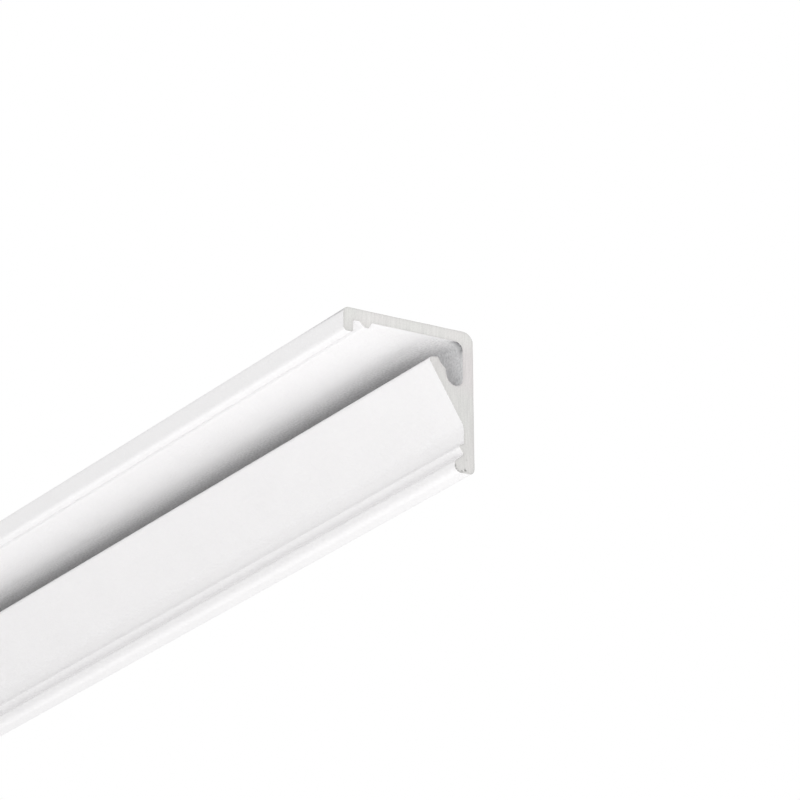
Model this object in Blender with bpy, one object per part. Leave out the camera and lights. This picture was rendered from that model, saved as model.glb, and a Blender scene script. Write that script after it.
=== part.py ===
"""Corner profile for an LED strip: one bar of extruded aluminium, coated white and sawn square.

Seen on its cut end, two equal legs meet at a rounded outer corner, as on an angle bar. One
leg lies flat under a ceiling or a shelf (the top leg), the other stands against a wall (the
wall leg). A slanted shelf rises from the wall leg into the open side and carries the strip.
Both free ends of the legs turn in to a lip, with a groove and a low ridge behind it, where a
diffuser would clip in.

Units are metres. The bar lies along X, +Y points at the wall and +Z at the ceiling. The
origin is the middle of the top leg's outer face, halfway along the bar.
"""

import math

import bpy
from mathutils import Matrix, Vector

BAR_LENGTH = 0.5

# Legs and the bend between them
LEG_THICKNESS = 0.0015
OUTER_CORNER_RADIUS = 0.0014
INNER_CORNER_RADIUS = 0.0010

# Slanted shelf with a level tip: its lean is measured from the wall leg, its foot is a height
# above that leg's free end, and its tip stays clear of the top leg
SHELF_ANGLE = math.radians(31.5)
SHELF_WIDTH = 0.00974
SHELF_THICKNESS = 0.00127
SHELF_FOOT_HEIGHT = 0.0061
SHELF_FOOT_RADIUS = 0.0020
SHELF_TIP_RADIUS = 0.00045
SHELF_TIP_CLEARANCE = 0.00258

# Round floor of the slot between the shelf and the wall leg
SLOT_FLOOR_RADIUS = 0.00105

# Lip, groove and ridge at the free end of the top leg; the groove's floor stands a little
# proud of the leg's inner face
TOP_EDGE_RADIUS = 0.0007
TOP_LIP_WIDTH = 0.00138
TOP_LIP_HEIGHT = 0.00162
TOP_LIP_OUTER_RADIUS = 0.0005
TOP_LIP_INNER_RADIUS = 0.0003
TOP_GROOVE_WIDTH = 0.00092
TOP_GROOVE_RISE = 0.0001
TOP_GROOVE_RADIUS = 0.00015
TOP_RIDGE_OUTER_SLOPE = 0.0006
TOP_RIDGE_CROWN = 0.0007
TOP_RIDGE_INNER_SLOPE = 0.0004
TOP_RIDGE_HEIGHT = 0.00075

# The same at the free end of the wall leg, where the lip slopes down to the groove
WALL_EDGE_RADIUS = 0.0008
WALL_LIP_WIDTH = 0.00138
WALL_LIP_HEIGHT = 0.00135
WALL_LIP_SLOPE = 0.00095
WALL_LIP_INNER_RADIUS = 0.0005
WALL_GROOVE_WIDTH = 0.00025
WALL_GROOVE_RISE = 0.00015
WALL_GROOVE_RADIUS = 0.0002
WALL_RIDGE_OUTER_SLOPE = 0.00065
WALL_RIDGE_CROWN = 0.0003
WALL_RIDGE_INNER_SLOPE = 0.0003
WALL_RIDGE_HEIGHT = 0.00065

# Rounding shared by both ridges
RIDGE_CROWN_RADIUS = 0.00025
RIDGE_FOOT_RADIUS = 0.00015

# Turn covered by one straight facet of an arc
ARC_STEP = math.radians(10)

# Arcs that meet share a point: points closer than this count as one
SAME_POINT = 0.000001

COATING_COLOUR = (0.86, 0.86, 0.85, 1.0)
COATING_ROUGHNESS = 0.45

# Both legs are as wide as the foot, the shelf and its clearance make the wall leg
SHELF_RISE = SHELF_WIDTH * math.cos(SHELF_ANGLE)
LEG_WIDTH = LEG_THICKNESS + SHELF_TIP_CLEARANCE + SHELF_RISE + SHELF_FOOT_HEIGHT


def clear_scene():
    """Remove whatever the file holds, so that only the bar is left."""
    for existing in list(bpy.data.objects):
        bpy.data.objects.remove(existing, do_unlink=True)


def rounded(corners):
    """Closed outline through (y, z, radius) corners, each an arc tangent to both its sides."""
    outline = []
    for index, (y, z, radius) in enumerate(corners):
        corner = Vector((y, z))
        into = (corner - Vector(corners[index - 1][:2])).normalized()
        out = (Vector(corners[(index + 1) % len(corners)][:2]) - corner).normalized()
        turn = math.atan2(into.x * out.y - into.y * out.x, into.dot(out))
        start = corner - into * radius * math.tan(abs(turn) / 2)
        centre = start + Vector((-into.y, into.x)) * math.copysign(radius, turn)
        steps = max(1, round(abs(turn) / ARC_STEP))
        for step in range(steps + 1):
            point = centre + Matrix.Rotation(turn * step / steps, 2) @ (start - centre)
            if not outline or (point - outline[-1]).length > SAME_POINT:
                outline.append(point)
    return outline


def top_edge_corners():
    """Lip, groove and ridge of the top leg, from the free edge towards the outer corner."""
    face = -LEG_THICKNESS
    lip_tip = face - TOP_LIP_HEIGHT
    floor = face - TOP_GROOVE_RISE
    crown = face - TOP_RIDGE_HEIGHT
    free = -LEG_WIDTH
    groove = free + TOP_LIP_WIDTH
    ridge = groove + TOP_GROOVE_WIDTH
    crown_start = ridge + TOP_RIDGE_OUTER_SLOPE
    crown_end = crown_start + TOP_RIDGE_CROWN
    return [
        (free, 0.0, TOP_EDGE_RADIUS),
        (free, lip_tip, TOP_LIP_OUTER_RADIUS),
        (groove, lip_tip, TOP_LIP_INNER_RADIUS),
        (groove, floor, TOP_GROOVE_RADIUS),
        (ridge, floor, TOP_GROOVE_RADIUS),
        (crown_start, crown, RIDGE_CROWN_RADIUS),
        (crown_end, crown, RIDGE_CROWN_RADIUS),
        (crown_end + TOP_RIDGE_INNER_SLOPE, face, RIDGE_FOOT_RADIUS),
    ]


def wall_edge_corners():
    """Ridge, groove and lip of the wall leg, down to its free edge."""
    face = -LEG_THICKNESS
    lip_tip = face - WALL_LIP_HEIGHT
    floor = face - WALL_GROOVE_RISE
    crown = face - WALL_RIDGE_HEIGHT
    free = -LEG_WIDTH
    lip_top = free + WALL_LIP_WIDTH
    groove = lip_top + WALL_LIP_SLOPE
    ridge = groove + WALL_GROOVE_WIDTH
    crown_start = ridge + WALL_RIDGE_OUTER_SLOPE
    crown_end = crown_start + WALL_RIDGE_CROWN
    return [
        (face, crown_end + WALL_RIDGE_INNER_SLOPE, RIDGE_FOOT_RADIUS),
        (crown, crown_end, RIDGE_CROWN_RADIUS),
        (crown, crown_start, RIDGE_CROWN_RADIUS),
        (floor, ridge, WALL_GROOVE_RADIUS),
        (floor, groove, WALL_GROOVE_RADIUS),
        (lip_tip, lip_top, WALL_LIP_INNER_RADIUS),
        (lip_tip, free, WALL_EDGE_RADIUS),
        (0.0, free, WALL_EDGE_RADIUS),
    ]


def shelf_corners():
    """Inner corner, slot floor, both edges of the shelf's level tip, and the shelf's foot."""
    face = -LEG_THICKNESS
    foot = SHELF_FOOT_HEIGHT - LEG_WIDTH
    tip = foot + SHELF_RISE
    front = face - SHELF_WIDTH * math.sin(SHELF_ANGLE)
    back = front + SHELF_THICKNESS / math.cos(SHELF_ANGLE)
    slot_apex = foot + SHELF_THICKNESS / math.sin(SHELF_ANGLE)
    return [
        (face, face, INNER_CORNER_RADIUS),
        (face, slot_apex, SLOT_FLOOR_RADIUS),
        (back, tip, SHELF_TIP_RADIUS),
        (front, tip, SHELF_TIP_RADIUS),
        (face, foot, SHELF_FOOT_RADIUS),
    ]


def coating():
    """White powder coating with a satin finish."""
    material = bpy.data.materials.new("white_coating")
    material.use_nodes = True
    shader = material.node_tree.nodes["Principled BSDF"]
    shader.inputs["Base Color"].default_value = COATING_COLOUR
    shader.inputs["Roughness"].default_value = COATING_ROUGHNESS
    shader.inputs["Metallic"].default_value = 0.0
    return material


def extruded_bar(collection):
    """Bar drawn as its cross-section and extruded along X to both sides of the origin."""
    corners = [(0.0, 0.0, OUTER_CORNER_RADIUS)]
    corners += top_edge_corners() + shelf_corners() + wall_edge_corners()
    outline = rounded(corners)

    section = bpy.data.curves.new("corner_profile", "CURVE")
    section.dimensions = "2D"
    section.fill_mode = "BOTH"
    section.extrude = BAR_LENGTH / 2
    section.materials.append(coating())
    spline = section.splines.new("POLY")
    spline.use_cyclic_u = True
    spline.points.add(len(outline) - 1)
    for point, (y, z) in zip(spline.points, outline):
        point.co = (y + LEG_WIDTH / 2, z, 0.0, 1.0)

    bar = bpy.data.objects.new("corner_profile", section)
    bar.rotation_euler = (math.pi / 2, 0.0, math.pi / 2)
    collection.objects.link(bar)
    return bar


def main():
    clear_scene()
    collection = bpy.data.collections.new("led_corner_profile")
    bpy.context.scene.collection.children.link(collection)
    extruded_bar(collection)


if __name__ == "__main__":
    main()
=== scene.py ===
"""Corner profile for an LED strip: one bar of aluminium, coated white and sawn square at both ends.

The file is laid out as an add-on and run as a script. It draws the bar's cross-section again with
fine arcs, carries it along the bar, and closes both ends with a sawn face. A stage with a pale
floor, soft lamps and the camera comes last.

Units are metres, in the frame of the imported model: the bar lies along X, +Y points at the wall,
+Z at the ceiling, and the origin is the middle of the top leg's outer face.
"""

import math

import bpy
import numpy as np
from bpy.props import FloatProperty, FloatVectorProperty, PointerProperty
from mathutils import Matrix, Vector
from mathutils.geometry import delaunay_2d_cdt


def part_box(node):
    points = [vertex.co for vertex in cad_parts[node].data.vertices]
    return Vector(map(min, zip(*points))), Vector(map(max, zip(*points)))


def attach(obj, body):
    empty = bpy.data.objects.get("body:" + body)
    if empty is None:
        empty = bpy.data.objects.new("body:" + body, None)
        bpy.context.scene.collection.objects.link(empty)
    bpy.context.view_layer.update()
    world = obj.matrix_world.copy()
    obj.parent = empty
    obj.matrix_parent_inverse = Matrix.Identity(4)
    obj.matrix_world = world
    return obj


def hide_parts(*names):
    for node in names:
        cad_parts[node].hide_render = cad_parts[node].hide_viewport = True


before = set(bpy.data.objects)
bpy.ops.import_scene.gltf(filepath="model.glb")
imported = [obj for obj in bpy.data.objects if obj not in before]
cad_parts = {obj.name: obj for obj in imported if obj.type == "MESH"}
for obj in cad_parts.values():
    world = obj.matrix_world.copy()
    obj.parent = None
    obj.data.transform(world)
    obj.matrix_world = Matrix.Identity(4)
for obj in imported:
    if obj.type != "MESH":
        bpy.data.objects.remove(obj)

bl_info = {
    "name": "LED corner profile",
    "version": (1, 0, 0),
    "blender": (4, 5, 0),
    "location": "View3D > Sidebar > Corner Profile",
    "description": "White corner profile for an LED strip, with its sawn ends and a photo stage",
    "category": "Add Mesh",
}

BAR_NODE = "corner_profile"
CAD_LOW, CAD_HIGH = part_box(BAR_NODE)

MM = 0.001

# Mesh of the bar
ARC_STEPS = 14
STRAIGHT_SPACING = 0.6 * MM
SIDE_STATIONS = 26
ROUNDING_STEPS = 4
RIM_INSET = 0.23 * MM
SAME_POINT = 0.001 * MM

# A face of the cut's rounding counts as coated while its normal leans to the end by under this
COATED_LEAN = 0.5

# Mesh of a sawn face: its grid is finer across the saw lines than along them
FACE_STEP_ACROSS = 0.08 * MM
FACE_STEP_ALONG = 0.16 * MM
FACE_MARGIN = 0.05 * MM
CDT_INSIDE = 1
CDT_TOLERANCE = 0.00001 * MM

# Points round each pit of a sawn face: how many on a ring, and the rings as shares of the radius
PIT_RING_POINTS = 12
PIT_RINGS = (0.35, 0.7, 1.0, 1.3)
PIT_CLEARANCE = 1.5

# A saw blade leaves rings round its axle, which stands level with the bar, behind the wall leg.
# The pitches of its lines and of their swelling are shares of the line pitch
BLADE_AXLE = (150.0 * MM, -9.0 * MM)
LINE_PITCHES = (1.0, 1.31, 0.73)
SWELL_PITCHES = (5.3, 8.9)
SWELL_MEAN, SWELL_SPAN = 0.6, 0.4
DRIFT_PITCHES = (4.1 * MM, 7.7 * MM)
DRIFT_SHARE = 0.3
SLOPE_REACH = 0.01 * MM
FAR_CUT_SEED, NEAR_CUT_SEED = 11, 23

# Wander of the edge's rounding, with its pitches as shares of the way round the section
WANDER_PITCHES = (1 / 7, 1 / 19, 1 / 43, 1 / 71)
WANDER_SHARE = 0.7
WANDER_SEED = 5

# Marks of the near cut in millimetres. A depth is counted inward from the wall leg's outer face,
# a height from the top leg's outer face
PITS = ((1.33, -18.05, 0.12), (1.78, -18.28, 0.11))  # depth, height, radius
# Spots of painted shade round the burr at the wall leg's lip, darkening the near cut
SHADE_SPOTS = (  # depth, height, width, strength
    (2.78, -17.7, 0.15, 0.5),
    (2.62, -18.05, 0.13, 0.4),
    (2.4, -18.3, 0.12, 0.35),
    (2.1, -18.42, 0.11, 0.3),
    (1.2, -16.7, 0.1, 0.2),
)
# Painted shade on the near cut: along its rim, and in and round its pits
RIM_SHADE, PIT_SHADE, PIT_SHADE_WIDTH = 0.14, 0.75, 1.1
WARM_PATCH = (0.7, -5.0)  # depth, height

# Bumps on the shelf's back that make the burr and the nick under it: height, width and share of
# the burr's height. The rows within reach of the cut carry them, rounded to a nanometre
BURRS = ((-4.2, 0.45, 0.55), (-5.1, 0.4, 0.75), (-5.6, 0.36, 1.3), (-6.65, 0.4, -0.4))
BURR_REACH = 0.3 * MM
BURR_DECIMALS = 9

# Where the painted shade in the slot and the rough coating start, counted from the outer corner, and the
# way to the full
SLOT_SHADE_START, SLOT_SHADE_RISE = 3.2 * MM, 1.8 * MM
ROUGH_COAT_START, ROUGH_COAT_RISE = 7.4 * MM, 3.4 * MM

# Lines of painted shade behind the near cut: width across, strength and reach along the bar. One
# lies on the middle of the inner corner's arc, at a share of its radius; one by the top leg's free edge
CORNER_SHADE_LINE = (0.85 * MM, 2.0, 1.3 * MM)
ARC_MIDDLE = 0.3
EDGE_SHADE_LINE = (0.22 * MM, 0.6, 14.0 * MM)
EDGE_SHADE_LINE_PLACE = (0.1 * MM, -0.35 * MM)

# Noise lies mostly in this range
NOISE_RANGE = (0.3, 0.7)
PATCH_GRAINS = 20.0

# Coating: its die lines and specks, and how far it varies in tone and roughness
DIE_LINE_SIZE, DIE_LINE_SHARE = 0.5 * MM, 0.35
DIE_LINE_STRETCH = (0.004, 1.0, 1.0)
SPECK_SIZE = 0.3 * MM
SPECKLE = (-0.16, 0.16)
LINE_BREAKS, BROKEN_STRENGTHS = (0.38, 0.52), (0.45, 1.0)
COATING_TONES = (0.985, 1.015)
COATING_ROUGHNESS_SPREAD = 0.12

# Sawn metal: its grain and saw lines, and how far it varies in tone and roughness. The low shade
# tones go with the height, as painted shade that darkens the face towards its bottom; patch shares
# with the distance from the warm patch
METAL_GRAIN_SIZE, METAL_GRAIN_SHARE = 0.2 * MM, 0.5
METAL_LINE_PITCHES, METAL_LINE_DRIFT = 0.6, 0.06
METAL_GRAIN_DEPTH = 0.004 * MM
METAL_ROUGHNESS_SPREAD = 0.2
GRAIN_TONES, LINE_TONES = (0.96, 1.04), (0.94, 1.06)
LOW_SHADE_SPAN, LOW_SHADE_TONES = (-3.4 * MM, -1.2 * MM), (0.957, 1.02)
PATCH_REACH, PATCH_SHARES = (1.0 * MM, 5.0 * MM), (0.85, 0.0)
MASK_SPAN, MASK_SHARES = (0.35, 0.65), (0.0, 0.5)

# Stage: highest level of a light, then the floor, the lamps that lie on it, and the lens
WHITE = (1.0, 1.0, 1.0, 1.0)
BRIGHTEST = 4.0
FLOOR_HALF = 12.0
FLOOR_ROUGHNESS = 0.9
LAMP_HEIGHT = 0.01
SENSOR_WIDTH = 36.0
CLIP_START, CLIP_END = 0.01, 100.0


def length(name, description, millimetres):
    """Property for a length that is given in millimetres and kept in metres."""
    return FloatProperty(
        name=name,
        description=description,
        default=millimetres * MM,
        min=0.0,
        precision=5,
        unit="LENGTH",
        subtype="DISTANCE",
    )


def level(name, description, default, highest=1.0):
    """Property for a plain number from nought up."""
    return FloatProperty(name=name, description=description, default=default, min=0.0, max=highest)


def colour(name, description, default):
    """Property for a linear colour."""
    return FloatVectorProperty(
        name=name,
        description=description,
        default=default,
        size=3,
        min=0.0,
        max=1.0,
        subtype="COLOR",
    )


class SectionSettings(bpy.types.PropertyGroup):
    """Legs, shelf and slot of the bar."""

    bar_length: length("Bar length", "Length of the bar", (CAD_HIGH[0] - CAD_LOW[0]) / MM)
    leg_width: length("Leg width", "Outer width of both legs", -CAD_LOW[2] / MM)
    leg_thickness: length("Leg thickness", "Wall thickness of both legs", 1.5)
    outer_radius: length("Outer corner", "Rounding outside, where the legs meet", 1.4)
    inner_radius: length("Inner corner", "Rounding inside, where the legs meet", 1.0)
    shelf_angle: FloatProperty(
        name="Shelf angle",
        description="Lean of the shelf from the wall leg",
        default=math.radians(31.5),
        unit="ROTATION",
        subtype="ANGLE",
    )
    shelf_width: length("Shelf width", "Front face of the shelf, from foot to tip", 9.74)
    shelf_thickness: length("Shelf thickness", "Wall thickness of the shelf", 1.27)
    tip_radius: length("Shelf tip", "Rounding of the front edge of the shelf's level tip", 0.45)
    tip_back_radius: length("Shelf tip, back", "Rounding of the tip's back edge", 0.25)
    foot_height: length("Foot height", "Shelf's foot above the wall leg's free edge", 6.1)
    foot_radius: length("Foot radius", "Hollow between the shelf and the wall leg", 2.0)
    slot_radius: length("Slot floor", "Round floor of the slot behind the shelf", 1.05)
    crown_radius: length("Ridge crown", "Rounding on top of both ridges", 0.25)
    foot_rounding: length("Ridge feet", "Hollow at the feet of both ridges", 0.15)


class TopEdgeSettings(bpy.types.PropertyGroup):
    """Lip, groove and ridge at the free end of the top leg."""

    edge_radius: length("Edge", "Rounding of the free edge", 0.7)
    lip_width: length("Lip width", "Width of the lip along the leg", 1.38)
    lip_height: length("Lip height", "Height of the lip over the leg's inner face", 1.62)
    lip_radius: length("Lip, outside", "Rounding of the lip on the outer side", 0.5)
    lip_inner_radius: length("Lip, inside", "Rounding of the lip on the groove's side", 0.3)
    lip_slope: length("Lip slope", "Run of the lip's slope on the groove's side", 0.0)
    groove_width: length("Groove width", "Floor of the groove", 0.92)
    groove_rise: length("Groove rise", "Height of the groove's floor over the inner face", 0.1)
    groove_radius: length("Groove corners", "Hollows at both sides of the groove's floor", 0.15)
    outer_slope: length("Outer slope", "Run of the ridge's slope on the groove's side", 0.6)
    ridge_crown: length("Ridge width", "Flat top of the ridge", 0.7)
    inner_slope: length("Inner slope", "Run of the ridge's slope on the inner side", 0.4)
    ridge_height: length("Ridge height", "Height of the ridge over the leg's inner face", 0.75)


class WallEdgeSettings(bpy.types.PropertyGroup):
    """Lip, groove and ridge at the free end of the wall leg."""

    edge_radius: length("Edge", "Rounding of the free edge", 0.8)
    lip_width: length("Lip width", "Width of the lip along the leg", 1.38)
    lip_height: length("Lip height", "Height of the lip over the leg's inner face", 1.35)
    lip_radius: length("Lip, outside", "Rounding of the lip on the outer side", 0.8)
    lip_inner_radius: length("Lip, inside", "Rounding of the lip on the groove's side", 0.5)
    lip_slope: length("Lip slope", "Run of the lip's slope on the groove's side", 0.95)
    groove_width: length("Groove width", "Floor of the groove", 0.25)
    groove_rise: length("Groove rise", "Height of the groove's floor over the inner face", 0.15)
    groove_radius: length("Groove corners", "Hollows at both sides of the groove's floor", 0.2)
    outer_slope: length("Outer slope", "Run of the ridge's slope on the groove's side", 0.65)
    ridge_crown: length("Ridge width", "Flat top of the ridge", 0.3)
    inner_slope: length("Inner slope", "Run of the ridge's slope on the inner side", 0.3)
    ridge_height: length("Ridge height", "Height of the ridge over the leg's inner face", 0.65)


class SawCutSettings(bpy.types.PropertyGroup):
    """Rounding and marks that the saw left at both ends."""

    edge_rounding: length("Edge rounding", "Rounding of the cut's edge", 0.07)
    line_pitch: length("Line pitch", "Distance from one saw line to the next", 0.37)
    line_depth: length("Line depth", "Depth of a saw line", 0.004)
    pit_depth: length("Pit depth", "Depth of the two pits by the free edge", 0.09)
    burr_height: length("Burr height", "Height of the burr behind the shelf's tip", 0.23)
    # The rim is a band of painted shade along the near cut's edge
    rim_width: length("Rim width", "Width of the duller rim of the cut", 0.15)


class FinishSettings(bpy.types.PropertyGroup):
    """Coating on the sides and bare metal on the ends."""

    coating_colour: colour("Coating", "Colour of the powder coating", (0.866, 0.857, 0.861))
    # Grey painted into the coating as shade in the slot
    slot_shade_colour: colour("Painted slot shade", "Colour of the coating in the slot", (0.73, 0.73, 0.735))
    # Colour of the painted shade lines behind the near cut
    painted_shade_colour: colour("Dark edge", "Colour of the dark line behind the cut", (0.2, 0.2, 0.21))
    coating_roughness: level("Coating roughness", "Roughness of the powder coating", 0.42)
    peel_size: length("Coating grain", "Width of the bumps in the coating", 0.35)
    peel_depth: length("Grain depth", "Height of the bumps in the coating", 0.07)
    metal_cool: colour("Metal, cool", "Colour of the sawn metal's cooler patches", (0.725, 0.724, 0.706))
    metal_warm: colour("Metal, warm", "Colour of the sawn metal's warmer patches", (0.745, 0.715, 0.714))
    metal_roughness: level("Metal roughness", "Roughness of the sawn metal", 0.5)


class StageSettings(bpy.types.PropertyGroup):
    """Floor, lamps and camera."""

    floor_drop: length("Floor", "Distance from the top leg down to the floor", 320.0)
    floor_colour: colour("Floor colour", "Colour of the floor", (0.85, 0.85, 0.85))
    sky_level: level("Sky", "Light that comes from all sides", 0.77, BRIGHTEST)
    strip_front_level: level("Front strip", "Level of the strip in front of the bar", 0.7, BRIGHTEST)
    strip_behind_level: level("Back strip", "Level of the strip behind the bar", 0.81, BRIGHTEST)
    strip_end_level: level("End strip", "Level of the strip beyond the near end", 3.15, BRIGHTEST)
    strip_side_level: level("Side strip", "Level of the strip at the camera's side", 1.9, BRIGHTEST)
    front_level: level("Front lamp", "Level of the upright lamp in front", 0.44, BRIGHTEST)
    camera_place: FloatVectorProperty(
        name="Camera",
        description="Place of the camera",
        default=(0.804825, -0.344568, -0.257799),
        size=3,
        precision=6,
        unit="LENGTH",
        subtype="TRANSLATION",
    )
    camera_azimuth: FloatProperty(
        name="Azimuth",
        description="Turn of the camera round the bar; 0 looks along +Y",
        default=math.radians(58.25731),
        unit="ROTATION",
        subtype="ANGLE",
    )
    camera_elevation: FloatProperty(
        name="Elevation",
        description="Height of the camera over the bar, as an angle; below nought it looks up",
        default=math.radians(-20.74433),
        unit="ROTATION",
        subtype="ANGLE",
    )
    camera_roll: FloatProperty(
        name="Roll",
        description="Turn of the camera about its line of sight",
        default=math.radians(-0.58824),
        unit="ROTATION",
        subtype="ANGLE",
    )
    focal_length: FloatProperty(
        name="Focal length",
        description="Focal length in millimetres on a sensor 36 mm wide",
        default=259.609,
        min=1.0,
    )


class CornerProfileSettings(bpy.types.PropertyGroup):
    """All settings of the bar and its stage."""

    section: PointerProperty(type=SectionSettings)
    top_edge: PointerProperty(type=TopEdgeSettings)
    wall_edge: PointerProperty(type=WallEdgeSettings)
    saw_cut: PointerProperty(type=SawCutSettings)
    finish: PointerProperty(type=FinishSettings)
    stage: PointerProperty(type=StageSettings)


def unit(vectors):
    """Each vector divided by its own length."""
    return vectors / np.linalg.norm(vectors, axis=-1, keepdims=True)


def turned(vectors, angles):
    """Each flat vector turned by its angle: (a cos t - b sin t, a sin t + b cos t)."""
    first, second = vectors[..., 0], vectors[..., 1]
    across = first * np.cos(angles) - second * np.sin(angles)
    upward = first * np.sin(angles) + second * np.cos(angles)
    return np.stack([across, upward], axis=-1)


def leg_end_corners(section, edge):
    """Eight corners of a leg's free end as (place along the leg, depth, radius).

    Both are counted from the outer corner and are negative on the leg: first the free edge, then
    the lip, the groove and the ridge.
    """
    face = -section.leg_thickness
    tip = face - edge.lip_height
    floor = face - edge.groove_rise
    crown = face - edge.ridge_height
    free = -section.leg_width
    lip_end = free + edge.lip_width
    groove = lip_end + edge.lip_slope
    ridge = groove + edge.groove_width
    crown_start = ridge + edge.outer_slope
    crown_end = crown_start + edge.ridge_crown
    return np.array(
        [
            (free, 0.0, edge.edge_radius),
            (free, tip, edge.lip_radius),
            (lip_end, tip, edge.lip_inner_radius),
            (groove, floor, edge.groove_radius),
            (ridge, floor, edge.groove_radius),
            (crown_start, crown, section.crown_radius),
            (crown_end, crown, section.crown_radius),
            (crown_end + edge.inner_slope, face, section.foot_rounding),
        ]
    )


def shelf_corners(section):
    """Inner corner, slot floor, both edges of the level shelf tip and shelf foot: (y, z, radius)."""
    face = -section.leg_thickness
    lean = section.shelf_angle
    foot_z = section.foot_height - section.leg_width
    front_y = face - section.shelf_width * math.sin(lean)
    tip_z = foot_z + section.shelf_width * math.cos(lean)
    back_y = front_y + section.shelf_thickness / math.cos(lean)
    slot_z = foot_z + section.shelf_thickness / math.sin(lean)
    return np.array(
        [
            (face, face, section.inner_radius),
            (face, slot_z, section.slot_radius),
            (back_y, tip_z, section.tip_back_radius),
            (front_y, tip_z, section.tip_radius),
            (face, foot_z, section.foot_radius),
        ]
    )


def rounded(corners):
    """Outline and outward normals of a closed run of (y, z, radius) corners.

    Corner i becomes an arc tangent to both its sides. It starts radius * tan(turn / 2) before the
    corner and turns about its centre in ARC_STEPS equal steps, and the normal turns with it. An
    arc that starts where the last one ended shares its point.
    """
    place, radius = corners[:, :2], corners[:, 2:]
    into = unit(place - np.roll(place, 1, axis=0))
    out = np.roll(into, -1, axis=0)
    turn = np.arctan2(into[:, 0] * out[:, 1] - into[:, 1] * out[:, 0], (into * out).sum(axis=1))
    start = place - into * radius * np.tan(np.abs(turn) / 2)[:, None]
    leftward = turned(into, math.pi / 2)
    centre = start + leftward * radius * np.sign(turn)[:, None]
    swing = turn[:, None] * np.linspace(0.0, 1.0, ARC_STEPS + 1)
    arms = turned((start - centre)[:, None], swing)
    points = (centre[:, None] + arms).reshape(-1, 2)
    normals = turned(-leftward[:, None], swing).reshape(-1, 2)
    apart = np.linalg.norm(np.roll(points, -1, axis=0) - points, axis=1) > SAME_POINT
    return points[apart], normals[apart]


def filled_in(points, normals):
    """The outline with more points on its straight stretches.

    A stretch is cut into equal parts no longer than STRAIGHT_SPACING, and the normal at share s
    of a part is the mean of its ends weighted by 1 - s and s.
    """
    gaps = np.linalg.norm(np.roll(points, -1, axis=0) - points, axis=1)
    parts = np.ceil(gaps / STRAIGHT_SPACING).astype(int)
    first = np.repeat(np.arange(len(points)), parts)
    step = np.arange(len(first)) - np.repeat(np.cumsum(parts) - parts, parts)
    share = (step / parts[first])[:, None]
    following = (first + 1) % len(points)
    points = points[first] * (1 - share) + points[following] * share
    normals = unit(normals[first] * (1 - share) + normals[following] * share)
    return points, normals


def section_outline(settings):
    """Outline of the bar's section and its normals, counter-clockwise as seen from +X.

    The wall leg's end is the top leg's form with along and depth swapped and the order reversed.
    """
    section = settings.section
    outer = np.array([(0.0, 0.0, section.outer_radius)])
    top = leg_end_corners(section, settings.top_edge)
    wall = leg_end_corners(section, settings.wall_edge)[::-1, [1, 0, 2]]
    corners = np.concatenate([outer, top, shelf_corners(section), wall])
    points, normals = filled_in(*rounded(corners))
    return points + np.array([section.leg_width / 2, 0.0]), normals


def waves(place, pitches, seed):
    """Sum of sine waves over a place, one for each pitch, with seeded phases, from -1 to 1."""
    phases = np.random.default_rng(seed).uniform(0.0, 2 * math.pi, len(pitches))
    turns = place[..., None] / np.array(pitches)
    return np.sin(2 * math.pi * turns + phases).mean(axis=-1)


def pit_places(section):
    """Centres and radii of the two pits by the wall leg's free edge, as (y, z, radius)."""
    depth, height, radius = np.array(PITS).T * MM
    return np.stack([section.leg_width / 2 - depth, height, radius], axis=1)


def bump(points, centre, width):
    """Round bump exp(-(distance / width)^2) over (y, z) places."""
    away = np.linalg.norm(points - np.array(centre), axis=-1)
    return np.exp(-((away / width) ** 2))


def saw_relief(points, settings, seed, pits):
    """Depth of the sawn face at (y, z) places.

    Rings round the blade's axle: waves over the distance from the axle, whose height swells and
    fades over several lines, plus slow waves over z, plus a round dip exp(-(distance / radius)^4)
    for each pit.
    """
    cut = settings.saw_cut
    reach = np.linalg.norm(points - np.array(BLADE_AXLE), axis=-1)
    pitch = cut.line_pitch
    fine = waves(reach, pitch * np.array(LINE_PITCHES), seed)
    swell = SWELL_MEAN + SWELL_SPAN * waves(reach, pitch * np.array(SWELL_PITCHES), seed + 1)
    drift = waves(points[..., 1], DRIFT_PITCHES, seed + 2)
    depth = cut.line_depth * (1.0 + fine * swell + DRIFT_SHARE * drift)
    away = np.linalg.norm(points[..., None, :] - pits[:, :2], axis=-1) / pits[:, 2]
    return np.maximum(depth, 0.0) + cut.pit_depth * np.exp(-(away**4)).sum(axis=-1)


def relief_normals(points, settings, seed, facing, pits):
    """Normals of a sawn face, from the slope of its relief over SLOPE_REACH to both sides."""
    steps = np.array([(SLOPE_REACH, 0.0), (0.0, SLOPE_REACH)])
    ahead = saw_relief(points[:, None] + steps, settings, seed, pits)
    behind = saw_relief(points[:, None] - steps, settings, seed, pits)
    slopes = (ahead - behind) / (2 * SLOPE_REACH)
    return unit(np.column_stack([np.full(len(points), facing), slopes]))


def cut_painted_shade(points, ring, settings):
    """How much painted shade each place of the near cut gets: along its rim, in its pits and in a few
    spots by the lip's burr.

    The rim's shade fades as exp(-distance / rim width) from the outline. Pits and spots are round bumps.
    """
    half = settings.section.leg_width / 2
    apart = np.linalg.norm(points[:, None] - ring, axis=-1).min(axis=1)
    cut_shade = RIM_SHADE * np.exp(-apart / settings.saw_cut.rim_width)
    for y, z, radius in pit_places(settings.section):
        cut_shade += PIT_SHADE * bump(points, (y, z), PIT_SHADE_WIDTH * radius)
    for depth, height, width, strength in SHADE_SPOTS:
        cut_shade += strength * bump(points, (half - depth * MM, height * MM), width * MM)
    return np.minimum(cut_shade, 1.0)


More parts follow.
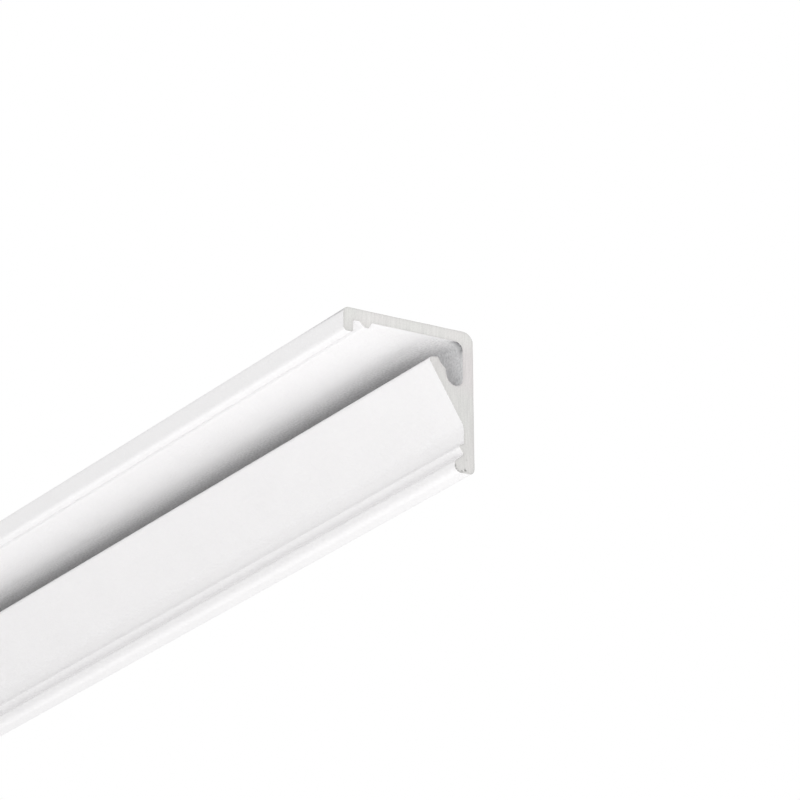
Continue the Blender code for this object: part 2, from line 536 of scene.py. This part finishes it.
def cut_burrs(outline, settings):
    """How far the near cut's edge stands out past the outline: a burr and a nick, as round bumps.

    The burr runs from the tip down the shelf's back; the nick lies under it, by the slot's floor.
    Their middles lie on the line of the shelf's back, which leans from the foot by the shelf's
    angle.
    """
    section = settings.section
    lean = section.shelf_angle
    wall = section.leg_width / 2 - section.leg_thickness
    back = wall + section.shelf_thickness / math.cos(lean)
    foot = section.foot_height - section.leg_width
    stands = np.zeros(len(outline))
    for height, width, share in BURRS:
        y = back - (height * MM - foot) * math.tan(lean)
        stands += share * bump(outline, (y, height * MM), width * MM)
    return np.round(settings.saw_cut.burr_height * stands, BURR_DECIMALS)


def cut_seeds(settings):
    """Random seed, facing and pits of the far cut and of the near one. The far cut has no pits."""
    pits = pit_places(settings.section)
    return (FAR_CUT_SEED, -1.0, pits[:0]), (NEAR_CUT_SEED, 1.0, pits)


def recess_shares(outline, section):
    """How much painted shade greys the coating and how rough it is at each place of the outline, from 0
    to 1.

    Both count only between the legs, behind the middle of the shelf, and rise as a smooth step
    3 s^2 - 2 s^3. The shade rises by the depth under the top leg plus the way along it from its start,
    so that it covers the slot; rough rises by the way along from its own start, further out.
    """
    face = -section.leg_thickness
    along, depth = outline[:, 0] - section.leg_width / 2, outline[:, 1]
    lean = section.shelf_angle
    foot = section.foot_height - section.leg_width
    behind = (along - face) * math.cos(lean) + (depth - foot) * math.sin(lean)
    between_legs = np.maximum(along, depth) < face + 2 * SAME_POINT
    within = between_legs & (behind > section.shelf_thickness / 2)
    inward = face - depth + np.maximum(along + SLOT_SHADE_START, 0.0)
    slot_shade = np.clip(inward / SLOT_SHADE_RISE, 0.0, 1.0)
    rough = np.clip((along + ROUGH_COAT_START) / ROUGH_COAT_RISE, 0.0, 1.0)
    return slot_shade**2 * (3 - 2 * slot_shade) * within, rough**2 * (3 - 2 * rough) * within


def painted_shade_lines(outline, section):
    """Strength of the painted shade line behind the near cut, and how far it reaches along the bar.

    One lies in the inner corner and is short; one lies on the top leg's free edge and is long.
    Each fades across as a round bump.
    """
    half = section.leg_width / 2
    inset = -section.leg_thickness - ARC_MIDDLE * section.inner_radius
    corner_width, corner_strength, corner_reach = CORNER_SHADE_LINE
    edge_width, edge_strength, edge_reach = EDGE_SHADE_LINE
    edge = np.array([half - section.leg_width, 0.0]) + EDGE_SHADE_LINE_PLACE
    in_corner = corner_strength * bump(outline, (half + inset, inset), corner_width)
    in_corner = np.minimum(1.0, in_corner)
    on_edge = edge_strength * bump(outline, edge, edge_width)
    reach = np.where(in_corner > on_edge, corner_reach, edge_reach)
    return np.maximum(in_corner, on_edge), reach


def swept_bar(outline, normals, settings):
    """Grid of the bar's skin: rows along the bar, columns round the section, with its normals.

    At lean t, from 0 on the sides to 90 degrees on the cut, a row lies r (1 - cos t) inside the
    outline and r (1 - sin t) short of the end, where r is the edge's rounding. A last row at each
    end lies RIM_INSET inside the outline, on the cut. The rounding's size wanders a little round
    the section, as a saw leaves it. The near end's rows also stand out by the burrs.
    """
    half = settings.section.bar_length / 2
    count = len(outline)
    round_trip = np.arange(count) / count
    wander = waves(round_trip, WANDER_PITCHES, WANDER_SEED)
    rounding = settings.saw_cut.edge_rounding * (1.0 + WANDER_SHARE * wander)
    lean = np.linspace(0.0, math.pi / 2, ROUNDING_STEPS + 1)[:, None]
    inset = np.vstack([rounding * (1 - np.cos(lean)), np.full(count, RIM_INSET)])
    short = np.vstack([rounding * (1 - np.sin(lean)), np.zeros(count)])
    lean = np.vstack([lean, [[math.pi / 2]]])

    straight = half - BURR_REACH
    stations = np.linspace(-straight, straight, SIDE_STATIONS)[:, None]
    along = np.vstack([short[::-1] - half, stations + np.zeros(count), half - short])
    burrs = cut_burrs(outline, settings)
    inset = np.vstack([inset[::-1], np.zeros((len(stations), count)), inset - burrs])
    lean = np.vstack([-lean[::-1], np.zeros((len(stations), 1)), lean])

    section = outline - normals * inset[..., None]
    for seed, facing, pits in cut_seeds(settings):
        relief = saw_relief(section, settings, seed, pits)
        along = along - facing * np.clip(np.sin(lean) * facing, 0.0, 1.0) * relief
    points = np.concatenate([along[..., None], section], axis=-1)
    sideways = np.cos(lean)[..., None] * normals
    endways = np.broadcast_to(np.sin(lean)[..., None], sideways.shape[:2] + (1,))
    return points, np.concatenate([endways, sideways], axis=-1)


def grid_faces(rows, columns):
    """Quads of a grid that closes on itself across its columns."""
    row, column = np.meshgrid(np.arange(rows - 1), np.arange(columns), indexing="ij")
    following = (column + 1) % columns
    quads = [
        row * columns + column,
        row * columns + following,
        (row + 1) * columns + following,
        (row + 1) * columns + column,
    ]
    return np.stack(quads, axis=-1).reshape(-1, 4)


def inside(points, ring):
    """Whether each point is inside a closed ring: a level ray from it crosses an odd number of sides."""
    start, end = ring, np.roll(ring, -1, axis=0)
    level_z = points[:, None, 1]
    spans = (start[:, 1] > level_z) != (end[:, 1] > level_z)
    rise = np.where(end[:, 1] == start[:, 1], 1.0, end[:, 1] - start[:, 1])
    meets = start[:, 0] + (level_z - start[:, 1]) / rise * (end[:, 0] - start[:, 0])
    return (spans & (points[:, None, 0] < meets)).sum(axis=1) % 2 == 1


def face_grid(ring, pits):
    """Places inside the ring: a brick-laid grid, and rings of points round each pit."""
    low, high = ring.min(axis=0), ring.max(axis=0)
    across = np.arange(low[0], high[0], FACE_STEP_ACROSS)
    along = np.arange(low[1], high[1], FACE_STEP_ALONG)
    y, z = np.meshgrid(across, along, indexing="ij")
    z = z + (np.arange(len(across)) % 2)[:, None] * FACE_STEP_ALONG / 2
    grid = np.column_stack([y.ravel(), z.ravel()])
    turns = np.linspace(0.0, 2 * math.pi, PIT_RING_POINTS + 1)[:-1]
    turn, reach = np.meshgrid(turns, PIT_RINGS)
    circles = np.stack([reach * np.cos(turn), reach * np.sin(turn)], axis=-1).reshape(-1, 2)
    dots = (pits[:, None, :2] + circles * pits[:, None, 2:]).reshape(-1, 2)
    clear = np.linalg.norm(grid[:, None] - pits[:, :2], axis=-1) > pits[:, 2] * PIT_CLEARANCE
    places = np.concatenate([grid[clear.all(axis=1)], dots])
    places = places[inside(places, ring)]
    apart = np.linalg.norm(places[:, None] - ring, axis=-1).min(axis=1)
    return places[apart > FACE_MARGIN]


def face_triangles(ring, places):
    """Triangles over the ring's points and the places inside it, as indexes into both in turn."""
    points = [Vector(point) for point in np.concatenate([ring, places])]
    border = list(range(len(ring)))
    made = delaunay_2d_cdt(points, [], [border], CDT_INSIDE, CDT_TOLERANCE)
    triangles, sources = made[2], made[3]
    source = np.array([indexes[0] for indexes in sources])
    return source[np.array(triangles)]


def keep_values(mesh, name, values):
    """Store one number for each vertex under a name that the materials read."""
    attribute = mesh.attributes.new(name, "FLOAT", "POINT")
    attribute.data.foreach_set("value", values.astype(np.float32))


def keep_coat_values(mesh, outline, rows, section):
    """Keep the coating's values: the same in each row of the skin, nought inside the cuts."""
    line_shade, reach = painted_shade_lines(outline, section)
    slot_shade, rough = recess_shares(outline, section)
    by_name = {"painted_slot_shade": slot_shade, "rough_coat": rough, "painted_line_shade": line_shade, "painted_line_reach": reach}
    for name, values in by_name.items():
        spread = np.zeros(len(mesh.vertices))
        spread[: rows * len(outline)] = np.tile(values, rows)
        keep_values(mesh, name, spread)


def bar_mesh(settings):
    """Closed mesh of the bar. Material 0 is on its sides, 1 on its sawn ends."""
    outline, outline_normals = section_outline(settings)
    grid, grid_normals = swept_bar(outline, outline_normals, settings)
    rows, columns = grid.shape[:2]
    sides = grid_faces(rows, columns)
    leans = (grid_normals[:-1, :, 0] + grid_normals[1:, :, 0]) / 2
    coated = np.abs(leans).ravel() < COATED_LEAN

    points, normals = [grid.reshape(-1, 3)], [grid_normals.reshape(-1, 3)]
    cut_shades = [np.zeros((rows, columns))]
    half = settings.section.bar_length / 2
    faces = []
    for (seed, facing, pits), row in zip(cut_seeds(settings), (0, rows - 1)):
        ring = grid[row, :, 1:]
        places = face_grid(ring, pits)
        along = facing * (half - saw_relief(places, settings, seed, pits))
        first = row * columns
        numbers = np.concatenate(
            [first + np.arange(columns), sum(map(len, points)) + np.arange(len(places))]
        )
        faces.append(numbers[face_triangles(ring, places)][:, :: int(facing)])
        points.append(np.column_stack([along, places]))
        normals.append(relief_normals(places, settings, seed, facing, pits))
        rim = slice(first, first + columns)
        normals[0][rim] = relief_normals(ring, settings, seed, facing, pits)
        # Painted shade on the near cut's face and on the near end's rounding
        cut_shades.append(cut_painted_shade(places, outline, settings) * (facing > 0))
    near_rows = grid[-ROUNDING_STEPS - 1 :, :, 1:].reshape(-1, 2)
    cut_shades[0][-ROUNDING_STEPS - 1 :] = cut_painted_shade(near_rows, outline, settings).reshape(-1, columns)
    cut_shades[0] = cut_shades[0].ravel()

    points, normals = np.concatenate(points), np.concatenate(normals)
    faces = np.concatenate(faces)
    mesh = bpy.data.meshes.new("extruded_bar")
    mesh.from_pydata(points, [], sides.tolist() + faces.tolist())
    material_index = np.ones(len(mesh.polygons), np.int32)
    material_index[: len(sides)][coated] = 0
    mesh.polygons.foreach_set("material_index", material_index)
    mesh.polygons.foreach_set("use_smooth", np.ones(len(mesh.polygons), bool))
    mesh.update()
    mesh.normals_split_custom_set_from_vertices(normals)

    keep_coat_values(mesh, outline, rows, settings.section)
    keep_values(mesh, "cut_shade", np.concatenate(cut_shades))
    return mesh


def node(tree, kind, inputs=None, **settings):
    """New shader node with its settings; an input is a value or the socket that feeds it."""
    made = tree.nodes.new(kind)
    for name, value in settings.items():
        setattr(made, name, value)
    for name, value in (inputs or {}).items():
        if isinstance(value, bpy.types.NodeSocket):
            tree.links.new(value, made.inputs[name])
        else:
            made.inputs[name].default_value = value
    return made


def sums(tree, operation, first, second):
    """Output of a Math node on two numbers or sockets."""
    return node(tree, "ShaderNodeMath", {0: first, 1: second}, operation=operation).outputs[0]


def blend(tree, share, first, second):
    """Output of a mix of two colours by a share."""
    inputs = {0: share, 6: first, 7: second}
    return node(tree, "ShaderNodeMix", inputs, data_type="RGBA").outputs[2]


def streaked_grain():
    """Node group for a surface with fine grain and streaks, shared by the coating and the metal.

    Grain is round noise of the grain size. Streaks are noise read along a vector that barely
    changes in the streaks' own direction. Height adds both by their shares; Mask is a slow patch
    pattern PATCH_GRAINS grains wide.
    """
    group = bpy.data.node_groups.new("streaked_grain", "ShaderNodeTree")
    face = group.interface
    face.new_socket("Position", in_out="INPUT", socket_type="NodeSocketVector")
    face.new_socket("Streak Position", in_out="INPUT", socket_type="NodeSocketVector")
    for name in ("Grain Size", "Grain Share", "Streak Size", "Streak Share"):
        face.new_socket(name, in_out="INPUT", socket_type="NodeSocketFloat")
    for name in ("Height", "Grain", "Streak", "Mask"):
        face.new_socket(name, in_out="OUTPUT", socket_type="NodeSocketFloat")
    given = group.nodes.new("NodeGroupInput").outputs
    result = group.nodes.new("NodeGroupOutput").inputs

    def noise(vector, size, detail, roughness=0.5):
        scale = sums(group, "DIVIDE", 1.0, size)
        values = {"Vector": vector, "Scale": scale, "Detail": detail, "Roughness": roughness}
        return node(group, "ShaderNodeTexNoise", values).outputs["Fac"]

    grain = noise(given["Position"], given["Grain Size"], 2.0)
    streak = noise(given["Streak Position"], given["Streak Size"], 3.0, 0.6)
    patch_size = sums(group, "MULTIPLY", given["Grain Size"], PATCH_GRAINS)
    patch = noise(given["Position"], patch_size, 2.0)
    grain_height = sums(group, "MULTIPLY", grain, given["Grain Share"])
    streak_height = sums(group, "MULTIPLY", streak, given["Streak Share"])
    group.links.new(sums(group, "ADD", grain_height, streak_height), result["Height"])
    group.links.new(grain, result["Grain"])
    group.links.new(streak, result["Streak"])
    group.links.new(patch, result["Mask"])
    return group


def new_material(name):
    """Material with its node tree and Principled shader."""
    material = bpy.data.materials.new(name)
    material.use_nodes = True
    return material, material.node_tree, material.node_tree.nodes["Principled BSDF"]


def shade(tint, factor):
    """Linear colour made lighter or darker, with full alpha."""
    return tuple(min(1.0, value * factor) for value in tint) + (1.0,)


def vertex_value(tree, name):
    """Output of a number that the mesh keeps for each vertex."""
    return node(tree, "ShaderNodeAttribute", attribute_name=name).outputs["Fac"]


def ramp(tree, value, given, wanted, kind="LINEAR"):
    """Output of a range of values carried to another range and held there."""
    inputs = {
        "Value": value,
        "From Min": given[0],
        "From Max": given[1],
        "To Min": wanted[0],
        "To Max": wanted[1],
    }
    return node(tree, "ShaderNodeMapRange", inputs, interpolation_type=kind).outputs[0]


def coating_material(settings, grain_group):
    """White powder coating: soft bumps and faint lengthwise die lines.

    It is greyed in the slot by painted shade and speckled where it is rough. A line of painted
    shade, broken up by noise, lies behind the near cut, in the inner corner and on the top leg's free
    edge.
    """
    finish = settings.finish
    material, tree, shader = new_material("white_powder_coating")
    place = node(tree, "ShaderNodeTexCoord").outputs["Object"]
    stretch = {"Vector": place, "Scale": DIE_LINE_STRETCH}
    inputs = {
        "Position": place,
        "Streak Position": node(tree, "ShaderNodeMapping", stretch).outputs[0],
        "Grain Size": finish.peel_size,
        "Grain Share": 1.0,
        "Streak Size": DIE_LINE_SIZE,
        "Streak Share": DIE_LINE_SHARE,
    }
    grain = node(tree, "ShaderNodeGroup", inputs, node_tree=grain_group).outputs
    darker, lighter = (shade(finish.coating_colour, tone) for tone in COATING_TONES)
    toned = blend(tree, grain["Mask"], darker, lighter)
    # Painted shade: the coating greyed in the slot
    slot_shade = vertex_value(tree, "painted_slot_shade")
    toned = blend(tree, slot_shade, toned, shade(finish.slot_shade_colour, 1.0))

    specks = {"Vector": place, "Scale": 1 / SPECK_SIZE, "Detail": 2.0}
    speck = node(tree, "ShaderNodeTexNoise", specks).outputs["Fac"]
    speckle = ramp(tree, speck, NOISE_RANGE, SPECKLE)
    speckle = sums(tree, "MULTIPLY", vertex_value(tree, "rough_coat"), speckle)
    bright = sums(tree, "ADD", speckle, 1.0)
    speckled = node(tree, "ShaderNodeVectorMath", {0: toned, "Scale": bright}, operation="SCALE")

    # Painted shade lines behind the near cut, fading along the bar
    parts = node(tree, "ShaderNodeSeparateXYZ", {0: place}).outputs
    behind = sums(tree, "SUBTRACT", settings.section.bar_length / 2, parts["X"])
    share = sums(tree, "DIVIDE", behind, vertex_value(tree, "painted_line_reach"))
    fade = ramp(tree, share, (0.0, 1.0), (1.0, 0.0), "SMOOTHSTEP")
    broken = ramp(tree, speck, LINE_BREAKS, BROKEN_STRENGTHS)
    line = sums(tree, "MULTIPLY", fade, broken)
    line = sums(tree, "MULTIPLY", line, vertex_value(tree, "painted_line_shade"))
    toned = blend(tree, line, speckled.outputs[0], shade(finish.painted_shade_colour, 1.0))
    tree.links.new(toned, shader.inputs["Base Color"])

    rough = sums(tree, "MULTIPLY", grain["Mask"], COATING_ROUGHNESS_SPREAD)
    rough = sums(tree, "ADD", rough, finish.coating_roughness - COATING_ROUGHNESS_SPREAD / 2)
    tree.links.new(rough, shader.inputs["Roughness"])
    bumps = {"Height": grain["Height"], "Distance": finish.peel_depth, "Strength": 1.0}
    tree.links.new(node(tree, "ShaderNodeBump", bumps).outputs[0], shader.inputs["Normal"])
    return material


def metal_material(settings, grain_group):
    """Bare sawn aluminium: rings of fine saw lines, speckle and slight patches.

    Painted shade darkens the near cut's rim, its pits and a few spots, and the face towards its bottom.
    """
    finish = settings.finish
    material, tree, shader = new_material("sawn_aluminium")
    place = node(tree, "ShaderNodeTexCoord").outputs["Object"]
    parts = node(tree, "ShaderNodeSeparateXYZ", {0: place}).outputs
    across = sums(tree, "SUBTRACT", parts["Y"], BLADE_AXLE[0])
    upward = sums(tree, "SUBTRACT", parts["Z"], BLADE_AXLE[1])
    flat = node(tree, "ShaderNodeCombineXYZ", {"Y": across, "Z": upward})
    reach = node(tree, "ShaderNodeVectorMath", {0: flat.outputs[0]}, operation="LENGTH")
    slow = sums(tree, "MULTIPLY", parts["Z"], METAL_LINE_DRIFT)
    rings = {"X": reach.outputs["Value"], "Y": slow, "Z": parts["X"]}
    inputs = {
        "Position": place,
        "Streak Position": node(tree, "ShaderNodeCombineXYZ", rings).outputs[0],
        "Grain Size": METAL_GRAIN_SIZE,
        "Grain Share": METAL_GRAIN_SHARE,
        "Streak Size": METAL_LINE_PITCHES * settings.saw_cut.line_pitch,
        "Streak Share": 1.0,
    }
    grain = node(tree, "ShaderNodeGroup", inputs, node_tree=grain_group).outputs

    patch_y = settings.section.leg_width / 2 - WARM_PATCH[0] * MM
    centre = (settings.section.bar_length / 2, patch_y, WARM_PATCH[1] * MM)
    away = node(tree, "ShaderNodeVectorMath", {0: place, 1: centre}, operation="DISTANCE")
    near = ramp(tree, away.outputs["Value"], PATCH_REACH, PATCH_SHARES, "SMOOTHSTEP")
    patches = ramp(tree, grain["Mask"], MASK_SPAN, MASK_SHARES)
    patches = sums(tree, "MAXIMUM", near, patches)
    toned = blend(tree, patches, shade(finish.metal_cool, 1.0), shade(finish.metal_warm, 1.0))

    lined = ramp(tree, grain["Streak"], NOISE_RANGE, LINE_TONES)
    speckled = ramp(tree, grain["Grain"], NOISE_RANGE, GRAIN_TONES)
    # Painted shade: the sawn face darker towards its bottom
    top = ramp(tree, parts["Z"], LOW_SHADE_SPAN, LOW_SHADE_TONES, "SMOOTHSTEP")
    bright = sums(tree, "MULTIPLY", sums(tree, "MULTIPLY", speckled, lined), top)
    # Painted shade on the near cut: rim, pits and spots
    unshaded = sums(tree, "SUBTRACT", 1.0, vertex_value(tree, "cut_shade"))
    bright = sums(tree, "MULTIPLY", bright, unshaded)
    dimmed = node(tree, "ShaderNodeVectorMath", {0: toned, "Scale": bright}, operation="SCALE")
    tree.links.new(dimmed.outputs[0], shader.inputs["Base Color"])

    rough = sums(tree, "MULTIPLY", grain["Streak"], METAL_ROUGHNESS_SPREAD)
    rough = sums(tree, "ADD", rough, finish.metal_roughness - METAL_ROUGHNESS_SPREAD / 2)
    tree.links.new(rough, shader.inputs["Roughness"])
    bumps = {"Height": grain["Height"], "Distance": METAL_GRAIN_DEPTH, "Strength": 1.0}
    tree.links.new(node(tree, "ShaderNodeBump", bumps).outputs[0], shader.inputs["Normal"])
    shader.inputs["Metallic"].default_value = 1.0
    return material


class LEDBAR_OT_extruded_bar(bpy.types.Operator):
    """Build the bar with its coating and its sawn ends"""

    bl_idname = "ledbar.extruded_bar"
    bl_label = "Extruded bar"

    def execute(self, context):
        settings = context.scene.corner_profile
        bar = bpy.data.objects.new("extruded_bar", bar_mesh(settings))
        context.scene.collection.objects.link(bar)
        grain_group = streaked_grain()
        bar.data.materials.append(coating_material(settings, grain_group))
        bar.data.materials.append(metal_material(settings, grain_group))
        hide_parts(BAR_NODE)
        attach(bar, "root")
        return {"FINISHED"}


def stage_floor(stage, collection):
    """Wide level floor under the bar. The camera sees it lifted to white, shadows kept."""
    half = FLOOR_HALF
    drop = -stage.floor_drop
    corners = [(-half, -half, drop), (half, -half, drop), (half, half, drop), (-half, half, drop)]
    mesh = bpy.data.meshes.new("floor")
    mesh.from_pydata(corners, [], [(0, 1, 2, 3)])
    floor = bpy.data.objects.new("floor", mesh)
    collection.objects.link(floor)
    material, tree, shader = new_material("pale_floor")
    shader.inputs["Base Color"].default_value = shade(stage.floor_colour, 1.0)
    shader.inputs["Roughness"].default_value = FLOOR_ROUGHNESS
    shader.inputs["Specular IOR Level"].default_value = 0.0
    seen = node(tree, "ShaderNodeLightPath").outputs["Is Camera Ray"]
    missing = 1.0 - stage.floor_colour[0] * stage.sky_level
    lift = sums(tree, "MULTIPLY", seen, missing)
    shader.inputs["Emission Color"].default_value = WHITE
    tree.links.new(lift, shader.inputs["Emission Strength"])
    mesh.materials.append(material)


def stage_world(stage, scene):
    """White behind the bar where it is seen, an even sky where it gives light."""
    world = bpy.data.worlds.new("studio")
    scene.world = world
    world.use_nodes = True
    tree = world.node_tree
    background = tree.nodes["Background"]
    background.inputs["Color"].default_value = WHITE
    rays = node(tree, "ShaderNodeLightPath").outputs
    shown = sums(tree, "MAXIMUM", rays["Is Camera Ray"], rays["Is Glossy Ray"])
    shown = sums(tree, "MAXIMUM", shown, rays["Is Transmission Ray"])
    strength = ramp(tree, shown, (0.0, 1.0), (stage.sky_level, 1.0))
    tree.links.new(strength, background.inputs["Strength"])


def soft_lamp(name, collection, brightness, size, place, tilt):
    """Lamp unseen by the camera, size (along the bar, across it); it shines down, tilted about X.

    Its power is pi times its brightness times its area.
    """
    light = bpy.data.lights.new(name, "AREA")
    light.shape = "RECTANGLE"
    light.size, light.size_y = size
    light.energy = brightness * math.pi * size[0] * size[1]
    lamp = bpy.data.objects.new(name, light)
    lamp.matrix_world = Matrix.Translation(place) @ Matrix.Rotation(tilt, 4, "X")
    lamp.visible_camera = False
    collection.objects.link(lamp)


def stage_lamps(stage, collection):
    """Light strips on the floor and one upright lamp.

    One strip lies on each side of the bar, one beyond its near end and one in front of that. The
    upright lamp stands in front.
    """
    lying = LAMP_HEIGHT - stage.floor_drop
    upward = math.pi
    lamps = (  # name, level, size, place, tilt
        ("strip_front", stage.strip_front_level, (3.0, 0.2), (0.0, -0.22, lying), upward),
        ("strip_behind", stage.strip_behind_level, (3.0, 0.15), (0.0, 0.125, lying), upward),
        ("strip_end", stage.strip_end_level, (0.8, 0.5), (1.0, 0.0, lying), upward),
        ("strip_side", stage.strip_side_level, (0.8, 0.5), (0.9, -0.5, lying), upward),
        ("lamp_front", stage.front_level, (3.0, 0.8), (0.0, -2.0, 0.1), upward / 2),
    )
    for name, brightness, size, place, tilt in lamps:
        soft_lamp(name, collection, brightness, size, place, tilt)


def stage_camera(stage, scene):
    """Camera at the photograph's place and angle."""
    azimuth, elevation, roll = stage.camera_azimuth, stage.camera_elevation, stage.camera_roll
    back = Vector(
        (
            math.sin(azimuth) * math.cos(elevation),
            -math.cos(azimuth) * math.cos(elevation),
            math.sin(elevation),
        )
    )
    facing = (-back).to_track_quat("-Z", "Y").to_matrix().to_4x4()
    lens = bpy.data.cameras.new("camera")
    lens.sensor_width = SENSOR_WIDTH
    lens.lens = stage.focal_length
    lens.clip_start, lens.clip_end = CLIP_START, CLIP_END
    camera = bpy.data.objects.new("camera", lens)
    camera.matrix_world = (
        Matrix.Translation(stage.camera_place) @ facing @ Matrix.Rotation(roll, 4, "Z")
    )
    scene.collection.objects.link(camera)
    scene.camera = camera


class LEDBAR_OT_stage(bpy.types.Operator):
    """Set up the floor, the world, the lamps and the camera"""

    bl_idname = "ledbar.stage"
    bl_label = "Stage"

    def execute(self, context):
        scene = context.scene
        stage = scene.corner_profile.stage
        stage_floor(stage, scene.collection)
        stage_world(stage, scene)
        stage_lamps(stage, scene.collection)
        stage_camera(stage, scene)
        scene.view_settings.view_transform = "Standard"
        return {"FINISHED"}


class LEDBAR_PT_sidebar(bpy.types.Panel):
    """Sidebar with the bar's and the stage's settings and operators"""

    bl_idname = "LEDBAR_PT_sidebar"
    bl_label = "Corner Profile"
    bl_space_type = "VIEW_3D"
    bl_region_type = "UI"
    bl_category = "Corner Profile"

    def draw(self, context):
        settings = context.scene.corner_profile
        for part in ("section", "top_edge", "wall_edge", "saw_cut", "finish"):
            self.draw_part(getattr(settings, part), part)
        self.layout.operator(LEDBAR_OT_extruded_bar.bl_idname)
        self.draw_part(settings.stage, "stage")
        self.layout.operator(LEDBAR_OT_stage.bl_idname)

    def draw_part(self, part, title):
        box = self.layout.box()
        box.label(text=title.replace("_", " ").capitalize())
        for name in part.bl_rna.properties.keys():
            if name not in ("rna_type", "name"):
                box.prop(part, name)


CLASSES = (
    SectionSettings,
    TopEdgeSettings,
    WallEdgeSettings,
    SawCutSettings,
    FinishSettings,
    StageSettings,
    CornerProfileSettings,
    LEDBAR_OT_extruded_bar,
    LEDBAR_OT_stage,
    LEDBAR_PT_sidebar,
)


def register():
    """Give Blender the settings, the operators and the sidebar."""
    for made in CLASSES:
        bpy.utils.register_class(made)
    bpy.types.Scene.corner_profile = PointerProperty(type=CornerProfileSettings)


def unregister():
    """Take the settings, the operators and the sidebar out again."""
    del bpy.types.Scene.corner_profile
    for made in reversed(CLASSES):
        bpy.utils.unregister_class(made)


def main():
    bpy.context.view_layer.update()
    register()
    bpy.ops.ledbar.extruded_bar()
    bpy.ops.ledbar.stage()


if __name__ == "__main__":
    main()
